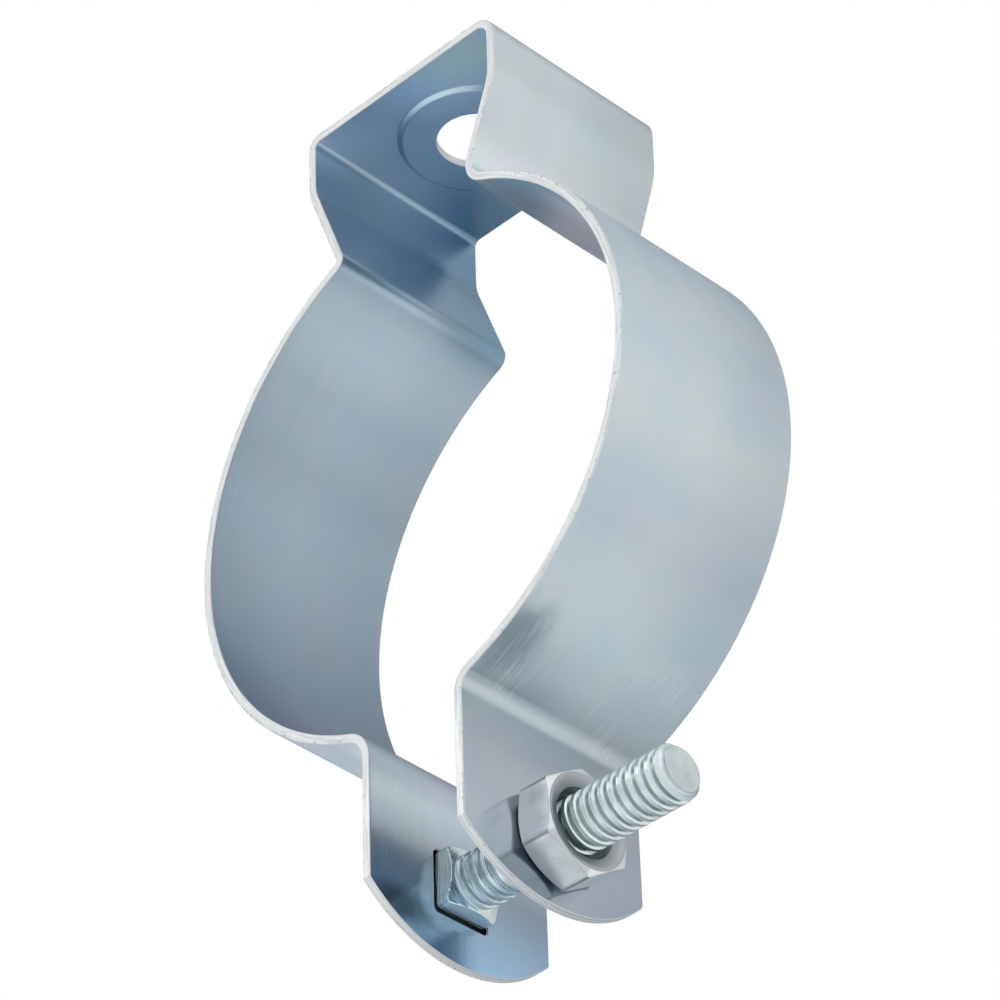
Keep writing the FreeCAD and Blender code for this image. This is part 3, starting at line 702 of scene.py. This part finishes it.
def makeBlank(stations, centre, loops):
    # two equal skins of triangles, joined round each loop by a rolled-over edge
    edge, sheet = strap["edgeRound"], strap["sheet"]
    firstLoops = [inset(loop, edge) for loop in loops]
    flatPoints, constraints = [], []
    for loop in firstLoops:
        offset = len(flatPoints)
        flatPoints += [Vector((float(s), float(y))) for s, y in loop]
        constraints += [(offset + i, offset + (i + 1) % len(loop)) for i in range(len(loop))]
    inner = innerPoints(stations, centre, loops, firstLoops)
    flatPoints += [Vector((float(s), float(y))) for s, y in inner]
    cdt = delaunay_2d_cdt(flatPoints, constraints, [], 1, 1e-7)
    skin, triangles, origins = cdt[0], cdt[2], cdt[3]
    place = {source: index for index, sources in enumerate(origins) for source in sources}
    skinArray = np.array([(p.x, p.y) for p in skin])
    centres = skinArray[np.array(triangles)].mean(axis=1)
    keep = insideLoop(centres, firstLoops[0])
    for loop in firstLoops[1:]:
        keep &= ~insideLoop(centres, loop)
    triangles = [t for t, k in zip(triangles, keep) if k]

    count = len(skin)
    vertices = [(s, y, sheet) for s, y in skinArray] + [(s, y, 0.0) for s, y in skinArray]
    clean = [0.0] * (2 * count)
    marks = {"sheared": clean[:], "inside": [0.0] * count + [1.0] * count, "paintedHoleShade": clean[:]}
    faces = [tuple(t) for t in triangles] + [tuple(count + i for i in reversed(t)) for t in triangles]
    # the edge as distance in from the cut and height in the sheet, outer face first
    turns = [math.radians(a) for a in (0, 30, 60, 90)]
    quarter = [(edge * (1 - math.sin(a)), edge * (1 - math.cos(a))) for a in turns]
    rim = [(far, sheet - low) for far, low in quarter] + [(0.0, sheet / 2)] + quarter[::-1]
    offset = 0
    for loop, shine, dirt in zip(loops, strap["cutShine"], strap["cutPaintedShade"]):
        size = len(loop)
        rows = [[place[offset + i] for i in range(size)]]
        for far, height in rim[1:-1]:
            rows.append(list(range(len(vertices), len(vertices) + size)))
            vertices += [(s, y, height) for s, y in inset(loop, far)]
            marks["sheared"] += [shine] * size
            marks["inside"] += [1 - height / sheet] * size
            marks["paintedHoleShade"] += [dirt if far < 0.01 else 0.0] * size
        rows.append([count + i for i in rows[0]])
        for upperRow, lowerRow in zip(rows, rows[1:]):
            for i in range(size):
                j = (i + 1) % size
                faces.append((upperRow[i], lowerRow[i], lowerRow[j], upperRow[j]))
        offset += size

    mesh = bpy.data.meshes.new("strapBlank")
    mesh.from_pydata([(s * mm, y * mm, t * mm) for s, y, t in vertices], [], faces)
    for name, values in marks.items():
        mesh.attributes.new(name, "FLOAT", "POINT").data.foreach_set("value", values)
    corners = np.empty(len(mesh.loops), int)
    mesh.loops.foreach_get("vertex_index", corners)
    flatCoords = np.array([(s / 100, y / 100) for s, y, t in vertices])[corners]
    mesh.uv_layers.new(name="flatSheet").data.foreach_set("uv", flatCoords.ravel())
    work = bmesh.new()
    work.from_mesh(mesh)
    bmesh.ops.delete(work, geom=[v for v in work.verts if not v.link_faces], context="VERTS")
    work.to_mesh(mesh)
    work.free()
    for polygon in mesh.polygons:
        polygon.use_smooth = True
    return newObject("strapBlank", mesh)


def drawFoldLine(path):
    line = bpy.data.curves.new("foldLine", "CURVE")
    line.dimensions = "3D"
    spline = line.splines.new("POLY")
    spline.points.add(len(path) - 1)
    for point, (x, z) in zip(spline.points, path):
        point.co = (x * mm, 0.0, z * mm, 1.0)
    return newObject("foldLine", line)


def makeFoldTree():
    # each point goes to its length along the fold line, raised by its height in the sheet
    inputs = {
        "Geometry": "Geometry",
        "Fold Line": "Object",
        "Boss Along": 0.1,
        "Boss Across": 0.0,
        "Boss Radius": 0.009,
        "Boss Slope": 0.0006,
        "Boss Step": 0.00035,
        "Material": "Material",
    }
    tree, start, end = newGroup("foldStrip", "Geometry", inputs, ["Geometry"])
    curve = addNode(tree, "GeometryNodeObjectInfo", {"Object": start["Fold Line"]}).outputs["Geometry"]
    along, across, level = axes(tree, addNode(tree, "GeometryNodeInputPosition").outputs[0])
    sample = addNode(tree, "GeometryNodeSampleCurve", {"Curves": curve, "Length": along}, mode="LENGTH")
    farAlong = less(tree, along, start["Boss Along"])
    farAcross = less(tree, across, start["Boss Across"])
    far = total(tree, product(tree, farAlong, farAlong), product(tree, farAcross, farAcross))
    foot = less(tree, start["Boss Radius"], start["Boss Slope"])
    pressed = ramp(tree, calc(tree, "SQRT", far), foot, start["Boss Radius"], 1.0, 0.0, smooth=False)
    height = less(tree, level, product(tree, pressed, start["Boss Step"]))
    outward = vector(tree, "CROSS_PRODUCT", (0.0, -1.0, 0.0), sample.outputs["Tangent"])
    raised = scaled(tree, vector(tree, "NORMALIZE", outward), height)
    position = vector(tree, "ADD", sample.outputs["Position"], raised)
    position = vector(tree, "ADD", position, join(tree, y=across))
    moved = addNode(tree, "GeometryNodeSetPosition", {"Geometry": start["Geometry"], "Position": position})
    dress(tree, moved.outputs[0], start["Material"], end["Geometry"])
    return tree


def makeStrap():
    path, stations, crownCentre, loops = layOut()
    blank = makeBlank(stations, crownCentre, loops)
    foldLine = drawFoldLine(path)
    fold = blank.modifiers.new("Fold", "NODES")
    fold.node_group = makeFoldTree()
    setInputs(fold, {
        "Fold Line": foldLine,
        "Boss Along": crownCentre[0] * mm,
        "Boss Across": crownCentre[1] * mm,
        "Boss Radius": (strap["bossAcross"] / 2 + 0.01) * mm,
        "Boss Slope": strap["bossSlope"] * mm,
        "Boss Step": strap["bossStep"] * mm,
        "Material": strapMaterial,
    })
    blank.modifiers.new("Even Shading", "WEIGHTED_NORMAL").weight = 70
    folded = bakeModifiers(blank, "foldedStrap")
    bpy.data.objects.remove(foldLine)
    return folded


strapObject = makeStrap()
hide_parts("hanger_strap")
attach(strapObject, "strap")
print("strap folded:", len(strapObject.data.vertices), "points")


# the bolt and the nut share one axis and one thread

thread = {
    "pitch": 1.27,
    "crest": 3.15,
    "root": 2.46,
    "rows": 10,
    "columns": 144,
    "firstAngle": 2.5,
}
bolt = {
    "tilt": 1.5,
    "headOut": 7.501,
    "height": 46.6,
    "length": 32.6,
    "headRadius": 7.3,
    "headHeight": 3.4,
    "headRim": 0.5,
    "headLip": 0.12,
    "neckHalf": 3.42,
    "neckCorner": 0.6,
    "neckLength": 3.6,
    "neckTaper": 0.9,
    "threadStart": 3.3,
    "runOut": 1.3,
    "tipRadius": 2.45,
    "tipBevel": 0.8,
}
nut = {
    "along": 15.0064,
    "thick": 4.5,
    "flats": 11.11,
    "turn": 32.5,
    "cornerTrim": 0.09,
    "landInset": 0.45,
    "rearSlope": 0.5,
    "sink": 0.45,
    "frontSink": 0.75,
    "sinkSlope": 0.45,
    "dish": 5.05,
    "dishDepth": 0.45,
    "frontLand": 5.4,
    "frontSlope": 0.42,
    "clearance": 0.05,
    "paintedShadeFlat": 3,  # the flat with painted shade, counted from the turn
    "paintedFlatShade": 0.38,
}
axisTilt = Matrix.Rotation(math.radians(bolt["tilt"]), 4, "Y")
axisFrame = Matrix.Translation((-bolt["headOut"] * mm, 0.0, -bolt["height"] * mm)) @ axisTilt
columns = range(thread["columns"])
columnAngles = [math.radians(thread["firstAngle"] + 360 * i / len(columns)) for i in columns]


def makeThreadTree(name, inside):
    # a grid is rolled round the axis with its rows along the helix; the bolt's is pinched shut at both ends
    inputs = {
        "Geometry": "Geometry",
        "Pitch": 0.00127,
        "Crest": 0.00315,
        "Root": 0.0025,
        "Start": 0.0,
        "End": 0.02,
        "Lead": 0.0013,
        "End Radius": 0.00175,
        "Start Radius": 0.0036,
        "End Slope": 3.0,
        "First Angle": 0.0,
        "Turns": 10,
        "Rows": 10,
        "Columns": 96,
        "Material": "Material",
    }
    tree, start, end = newGroup(name, "Geometry", inputs, ["Geometry"])
    pitch, crest, root = start["Pitch"], start["Crest"], start["Root"]
    tall = product(tree, pitch, start["Turns"])
    grid = addNode(tree, "GeometryNodeMeshGrid", {
        "Size X": 2 * math.pi,
        "Size Y": tall,
        "Vertices X": total(tree, start["Columns"], 1.0),
        "Vertices Y": total(tree, product(tree, start["Turns"], start["Rows"]), 1.0),
    })
    across, up = axes(tree, addNode(tree, "GeometryNodeInputPosition").outputs[0])[:2]
    turn = total(tree, across, math.pi, start["First Angle"])
    # whole pitches below the start, so that the bolt and the nut stay in step
    lowest = less(tree, calc(tree, "FLOOR", calc(tree, "DIVIDE", start["Start"], pitch)), 3.0)
    level = total(tree, up, product(tree, tall, 0.5), product(tree, lowest, pitch))
    along = total(tree, level, product(tree, calc(tree, "DIVIDE", turn, 2 * math.pi), pitch))
    held = calc(tree, "MINIMUM", calc(tree, "MAXIMUM", along, start["Start"]), start["End"])
    # the ridge of the thread, once in each pitch
    share = calc(tree, "FRACT", total(tree, calc(tree, "DIVIDE", level, pitch), 100.0005))
    ridge = less(tree, 1.0, calc(tree, "ABSOLUTE", less(tree, product(tree, share, 2.0), 1.0)))
    ridge = ramp(tree, ridge, 0.02, 0.6)
    groove = less(tree, 1.0, ridge)
    cut = total(tree, root, product(tree, ridge, less(tree, crest, root)))
    fromEnd, fromStart = less(tree, start["End"], held), less(tree, held, start["Start"])
    fromEnd = product(tree, fromEnd, start["End Slope"])
    if inside:
        front, rear = less(tree, start["End Radius"], fromEnd), less(tree, start["Start Radius"], fromStart)
        radius = calc(tree, "MAXIMUM", cut, calc(tree, "MAXIMUM", front, rear))
        # painted shade over the whole bore thread, darkest in the grooves
        dirt = ramp(tree, groove, 0.0, 1.0, 0.75, 1.0)
    else:
        grown = ramp(tree, fromStart, 0.0, start["Lead"])
        blended = total(tree, product(tree, cut, grown), product(tree, crest, 0.985, less(tree, 1.0, grown)))
        radius = calc(tree, "MINIMUM", blended, total(tree, start["End Radius"], fromEnd))
        outside = calc(tree, "MAXIMUM", less(tree, along, start["End"]), less(tree, start["Start"], along))
        closed = calc(tree, "GREATER_THAN", outside, product(tree, pitch, 0.35))
        radius = product(tree, radius, less(tree, 1.0, closed))
        # painted shade: darker in the grooves, and a little darker on the end face than on the crests
        endFace = calc(tree, "GREATER_THAN", along, less(tree, start["End"], 0.00002))
        dirt = product(tree, ramp(tree, groove, 0.55, 1.0, 0.0, 0.65), less(tree, 1.0, endFace))
        dirt = total(tree, dirt, product(tree, endFace, 0.36))
    rounds = [product(tree, radius, calc(tree, operation, turn)) for operation in ("COSINE", "SINE")]
    made = addNode(tree, "GeometryNodeStoreNamedAttribute", {
        "Geometry": grid.outputs["Mesh"], "Name": "dirt", "Value": dirt,
    })
    position = join(tree, held, *rounds)
    made = addNode(tree, "GeometryNodeSetPosition", {"Geometry": made.outputs[0], "Position": position})
    merge = {"Geometry": made.outputs[0], "Distance": 0.000002}
    made = addNode(tree, "GeometryNodeMergeByDistance", merge)
    joined = addNode(tree, "GeometryNodeJoinGeometry")
    tree.links.new(made.outputs[0], joined.inputs[0])
    tree.links.new(start["Geometry"], joined.inputs[0])
    made = joined
    if inside:  # the bore's thread and the nut's body become one shell
        made = addNode(tree, "GeometryNodeMergeByDistance", {**merge, "Geometry": joined.outputs[0]})
    bend = addNode(tree, "GeometryNodeInputMeshEdgeAngle").outputs["Unsigned Angle"]
    facing = axes(tree, addNode(tree, "GeometryNodeInputNormal").outputs[0])[0]
    sharp = calc(tree, "GREATER_THAN", bend, 1.0)
    square = calc(tree, "GREATER_THAN", calc(tree, "ABSOLUTE", facing), 0.9995)
    for domain, chosen in (("EDGE", sharp), ("FACE", square)):
        crisp = {"Geometry": made.outputs[0], "Selection": chosen, "Shade Smooth": False}
        made = addNode(tree, "GeometryNodeSetShadeSmooth", crisp, domain=domain)
    dress(tree, made.outputs[0], start["Material"], end["Geometry"])
    return tree


def cutThread(body, name, inside, material, endSlope, lengths):
    # the lengths are in millimetres and have the names of the tree's inputs
    play = nut["clearance"] if inside else 0.0
    lengths = {
        "Pitch": thread["pitch"],
        "Crest": thread["crest"] + play,
        "Root": thread["root"] + play,
        **lengths,
    }
    cut = body.modifiers.new("Thread", "NODES")
    cut.node_group = makeThreadTree(name, inside)
    setInputs(cut, {label: length * mm for label, length in lengths.items()})
    setInputs(cut, {
        "End Slope": endSlope,
        "First Angle": math.radians(thread["firstAngle"]),
        "Turns": math.ceil((lengths["End"] - lengths["Start"]) / thread["pitch"]) + 6,
        "Rows": thread["rows"],
        "Columns": thread["columns"],
        "Material": material,
    })


def ringMesh(name, rows, closeStart, closeEnd, crease=0.6):
    # rows of (along, radius per column) round the axis; a closed end gets a fan to its middle
    vertices, faces = [], []
    size = len(columnAngles)
    for along, radii in rows:
        for angle, radius in zip(columnAngles, radii):
            vertices.append((along * mm, radius * mm * math.cos(angle), radius * mm * math.sin(angle)))
    for row in range(len(rows) - 1):
        for i in range(size):
            j = (i + 1) % size
            a, b = row * size, (row + 1) * size
            faces.append((a + i, a + j, b + j, b + i))
    if closeStart is not None:
        vertices.append((closeStart * mm, 0.0, 0.0))
        faces += [(len(vertices) - 1, (i + 1) % size, i) for i in range(size)]
    if closeEnd is not None:
        vertices.append((closeEnd * mm, 0.0, 0.0))
        last = (len(rows) - 1) * size
        faces += [(len(vertices) - 1, last + i, last + (i + 1) % size) for i in range(size)]
    mesh = bpy.data.meshes.new(name)
    mesh.from_pydata(vertices, [], faces)
    work = bmesh.new()
    work.from_mesh(mesh)
    bmesh.ops.recalc_face_normals(work, faces=work.faces)
    for edge in work.edges:
        edge.smooth = not edge.is_manifold or edge.calc_face_angle() < crease
    work.to_mesh(mesh)
    work.free()
    for polygon in mesh.polygons:
        polygon.use_smooth = True
    return newObject(name, mesh)


def evenRow(along, radius):
    return along, [radius] * len(columnAngles)


def squareRadius(angle, half, corner):
    # distance to a rounded square at an angle
    y, z = abs(math.cos(angle)), abs(math.sin(angle))
    flat = half / max(y, z)
    if min(y, z) * flat <= half - corner:
        return flat
    reach = half - corner
    middle = reach * (y + z)
    return middle + math.sqrt(max(0.0, middle ** 2 - 2 * reach ** 2 + corner ** 2))


def makeBolt():
    # rows from the top of the domed head to the end of the square neck, and the thread after it
    radius, rim, lip = bolt["headRadius"], bolt["headRim"], bolt["headLip"]
    rise = bolt["headHeight"] - rim
    dome = (radius ** 2 + rise ** 2) / (2 * rise)
    edge = math.asin(radius / dome)
    rows = []
    for i in range(1, 28):
        turn = edge * i / 28
        rows.append(evenRow(dome - bolt["headHeight"] - dome * math.cos(turn), dome * math.sin(turn)))
    rows.append(evenRow(-rim - 0.02, radius - lip * 0.4))
    for turn in map(math.radians, (20, 45, 70, 90)):
        along = -rim + lip * 0.6 * (1 - math.cos(turn))
        rows.append(evenRow(along, radius - lip * 0.4 * (1 - math.sin(turn))))
    for turn in map(math.radians, (0, 30, 60, 90)):
        rows.append(evenRow(-lip * (1 - math.sin(turn)), radius - lip * (1 - math.cos(turn))))
    # the head's flat underside closes in on the neck, which starts with a small fillet
    square = [squareRadius(a, bolt["neckHalf"], bolt["neckCorner"]) for a in columnAngles]
    for share in (0.3, 0.6, 0.85):
        rows.append((0.0, [radius - lip + (s + 0.15 - radius + lip) * share for s in square]))
    for along, fillet in ((0.0, 0.15), (0.04, 0.05), (0.15, 0.0)):
        rows.append((along, [s + fillet for s in square]))
    taperStart = bolt["neckLength"] - bolt["neckTaper"]
    rows.append((taperStart - 0.6, square))
    wide, narrow = bolt["neckHalf"] * 1.44, thread["crest"] + 0.1
    for i in range(23):
        cone = wide + (narrow - wide) * i / 22
        rows.append((taperStart + bolt["neckTaper"] * i / 22, [min(s, cone) for s in square]))
    rows.append(evenRow(bolt["neckLength"] + 0.08, thread["crest"] - 0.1))
    head = ringMesh("boltHead", rows, -bolt["headHeight"], bolt["neckLength"] + 0.1)
    tipSlope = (thread["crest"] - bolt["tipRadius"]) / bolt["tipBevel"]
    cutThread(head, "boltThread", False, boltMaterial, tipSlope, {
        "Start": bolt["threadStart"],
        "End": bolt["length"],
        "Lead": bolt["runOut"],
        "End Radius": bolt["tipRadius"],
    })
    made = bakeModifiers(head, "threadedBolt")
    made.data.transform(axisFrame)
    return made


def makeNut():
    # rows from the bore's rear edge over the outside to the bore's front edge, and the thread between them
    apothem, thick = nut["flats"] / 2, nut["thick"]
    land, rearSlope = apothem - nut["landInset"], nut["rearSlope"]
    bore = thread["crest"] + nut["clearance"] + nut["sink"]

    def hexRadius(angle):
        # the nut's turn puts a corner on the local Y axis turned by that angle
        spoke = math.radians((math.degrees(angle) - nut["turn"]) % 60 - 30)
        return min(apothem / math.cos(spoke), apothem / math.cos(math.radians(30)) - nut["cornerTrim"])

    hexagon = [hexRadius(a) for a in columnAngles]
    corner = max(hexagon)
    start, finish = nut["along"], nut["along"] + thick
    rows = [evenRow(start, r) for r in (bore, bore + 0.25, (bore + land) / 2, land - 0.15, land - 0.04)]
    rows.append(evenRow(start + 0.015, land + 0.015))
    for i in range(1, 21):
        x = (corner - land) * rearSlope * i / 20
        rows.append((start + x, [min(h, land + x / rearSlope) for h in hexagon]))
    # the front bevel is slight, and the sink in front of the thread is wide
    frontLand, slope = nut["frontLand"], nut["frontSlope"]
    frontBore = thread["crest"] + nut["clearance"] + nut["frontSink"]
    for i in range(13):
        x = (corner - frontLand) * slope * (1 - i / 12)
        rows.append((finish - x, [min(h, frontLand + x / slope) for h in hexagon]))
    sides = len(rows)
    dish, deep = nut["dish"], nut["dishDepth"]
    rows += [evenRow(finish, r) for r in (frontLand - 0.05, (dish + frontLand) / 2, dish + 0.04)]
    rows += [evenRow(finish - deep * i / 6 - 0.004, dish + (frontBore - dish) * i / 6) for i in range(7)]
    rows.append(evenRow(finish - deep - 0.05, frontBore - 0.02))
    body = ringMesh("nutBody", rows, None, None)

    # masks for its material: dirt lies along the borders and corners; painted shade in the dish, over one
    # flat and over the front face
    marks = {"frontFaceShade": [], "bevel": [], "dirt": []}
    for row, (along, radii) in enumerate(rows):
        outer = row < sides
        cone = frontLand + (finish - along) / slope
        # painted shade in the dish, deeper towards the thread
        sunk = 0.0 if outer else max(0.0, min(1.0, (finish - along) / deep)) * 0.75
        for angle, radius, h in zip(columnAngles, radii, hexagon):
            turned = (math.degrees(angle) - nut["turn"]) % 360
            border = max(0.0, 1 - abs(cone - h) / 0.1) if outer else 0.0
            # painted shade over one flat
            darkTone = nut["paintedFlatShade"] if outer and int(turned // 60) == nut["paintedShadeFlat"] else 0.0
            ridge = 0.8 if abs(radius - h) < 1e-6 and 30 - abs(turned % 60 - 30) < 1 else 0.0
            marks["dirt"].append(max(border, sunk, darkTone, ridge))
            marks["frontFaceShade"].append(1.0 if row >= sides - 1 else 0.0)
            marks["bevel"].append(1.0 if cone < h and row < sides - 1 else 0.0)
    for name, values in marks.items():
        body.data.attributes.new(name, "FLOAT", "POINT").data.foreach_set("value", values)

    cutThread(body, "nutThread", True, nutMaterial, nut["sinkSlope"], {
        "Start": start,
        "End": finish - deep - 0.05,
        "Lead": 0.0,
        "End Radius": frontBore - 0.02,
        "Start Radius": bore,
    })
    made = bakeModifiers(body, "threadedNut")
    work = bmesh.new()
    work.from_mesh(made.data)
    bmesh.ops.recalc_face_normals(work, faces=work.faces)
    work.to_mesh(made.data)
    work.free()
    made.data.transform(axisFrame)
    return made


boltObject = makeBolt()
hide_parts("carriage_bolt")
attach(boltObject, "bolt")
nutObject = makeNut()
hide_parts("hex_nut")
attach(nutObject, "nut")
print("bolt and nut cut:", len(boltObject.data.vertices), "and", len(nutObject.data.vertices), "points")


# floor, light and camera

studio = {
    "floorLevel": -0.56,
    "floorReach": 0.62,
    "fadeStart": 0.2,
    "floorColour": (0.82, 0.83, 0.84),
    "skyBright": (1.0, 1.0, 1.0),
    "skyDim": (0.03, 0.07, 0.12),
    "skyAim": (0.99, 0.0, 0.12),
    "skyFront": (0.82, 0.83, 0.84),
    "skyLeft": (0.60, 0.62, 0.67),
    "roomLevel": (0.78, 0.80, 0.82),
    "backdrop": (1.0, 1.0, 1.0),
}


def makeFloor():
    mesh = bpy.data.meshes.new("floor")
    work = bmesh.new()
    bmesh.ops.create_circle(work, cap_ends=True, radius=studio["floorReach"], segments=64)
    work.to_mesh(mesh)
    work.free()
    mesh.transform(Matrix.Translation((0, 0, studio["floorLevel"])))
    floor = newObject("floor", mesh)
    material, tree, shader = newMaterial("paleFloor")
    shader.inputs["Base Color"].default_value = (*studio["floorColour"], 1.0)
    shader.inputs["Roughness"].default_value = 0.9
    # it fades into the backdrop
    far = vector(tree, "LENGTH", vector(tree, "MULTIPLY", objectPlace(tree), (1.0, 1.0, 0.0)))
    fade = ramp(tree, far, studio["fadeStart"], studio["floorReach"] * 0.95, 1.0, 0.0)
    tree.links.new(fade, shader.inputs["Alpha"])
    floor.data.materials.append(material)


def makeWorld():
    world = bpy.data.worlds.new("studio")
    scene.world = world
    world.use_nodes = True
    tree = world.node_tree
    tree.nodes.clear()
    direction = addNode(tree, "ShaderNodeTexCoord").outputs["Generated"]
    aim = vector(tree, "DOT_PRODUCT", direction, studio["skyAim"])
    soft = mixColour(tree, ramp(tree, aim, -0.75, 0.85, smooth=False), studio["skyDim"], studio["skyBright"])
    x, y = axes(tree, direction)[:2]
    soft = mixColour(tree, ramp(tree, x, -0.35, -0.85), soft, studio["skyLeft"])
    soft = mixColour(tree, ramp(tree, y, 0.3, -0.45), soft, studio["skyFront"])
    ray = addNode(tree, "ShaderNodeLightPath")
    colour = mixColour(tree, ray.outputs["Is Diffuse Ray"], soft, studio["roomLevel"])
    colour = mixColour(tree, ray.outputs["Is Camera Ray"], colour, studio["backdrop"])
    glow = addNode(tree, "ShaderNodeBackground", {"Color": colour, "Strength": 1.0})
    output = tree.nodes.new("ShaderNodeOutputWorld")
    tree.links.new(glow.outputs[0], output.inputs[0])


lamps = {
    "key": {"place": (-0.6, -0.7, 0.7), "size": 0.6, "power": 0.9, "tint": (1.0, 0.99, 0.97)},
    "side": {"place": (0.9, -0.1, 0.9), "size": 1.0, "power": 0.5, "tint": (0.97, 0.98, 1.0)},
    "low": {"place": (-0.2, -0.2, -0.5), "size": 0.5, "power": 0.14, "tint": (1.0, 1.0, 1.0)},
}


def makeLamp(name, look):
    light = bpy.data.lights.new(name, "AREA")
    light.shape = "SQUARE"
    light.size = look["size"]
    light.energy = look["power"]
    light.color = look["tint"]
    lamp = newObject(name, light)
    lamp.visible_camera = False
    lamp.location = look["place"]
    lamp.rotation_euler = (-Vector(look["place"])).to_track_quat("-Z", "Y").to_euler()


viewpoint = {
    "place": (0.296784, -0.304242, -0.325840),
    "right": (0.7031, 0.7106, -0.0258),
    "down": (-0.4470, 0.4135, -0.7932),
    "lens": 180.71,
}


def makeCamera():
    data = bpy.data.cameras.new("camera")
    data.sensor_width = 36.0
    data.lens = viewpoint["lens"]
    data.clip_start = 0.01
    data.clip_end = 50.0
    camera = newObject("camera", data)
    right = Vector(viewpoint["right"]).normalized()
    up = -Vector(viewpoint["down"])
    up = (up - right * up.dot(right)).normalized()
    back = right.cross(up)
    turn = Matrix((right, up, back)).transposed().to_4x4()
    camera.matrix_world = Matrix.Translation(viewpoint["place"]) @ turn
    scene.camera = camera


makeFloor()
makeWorld()
for lampName, lampLook in lamps.items():
    makeLamp(lampName, lampLook)
makeCamera()
scene.view_settings.view_transform = "Standard"
print("studio set")
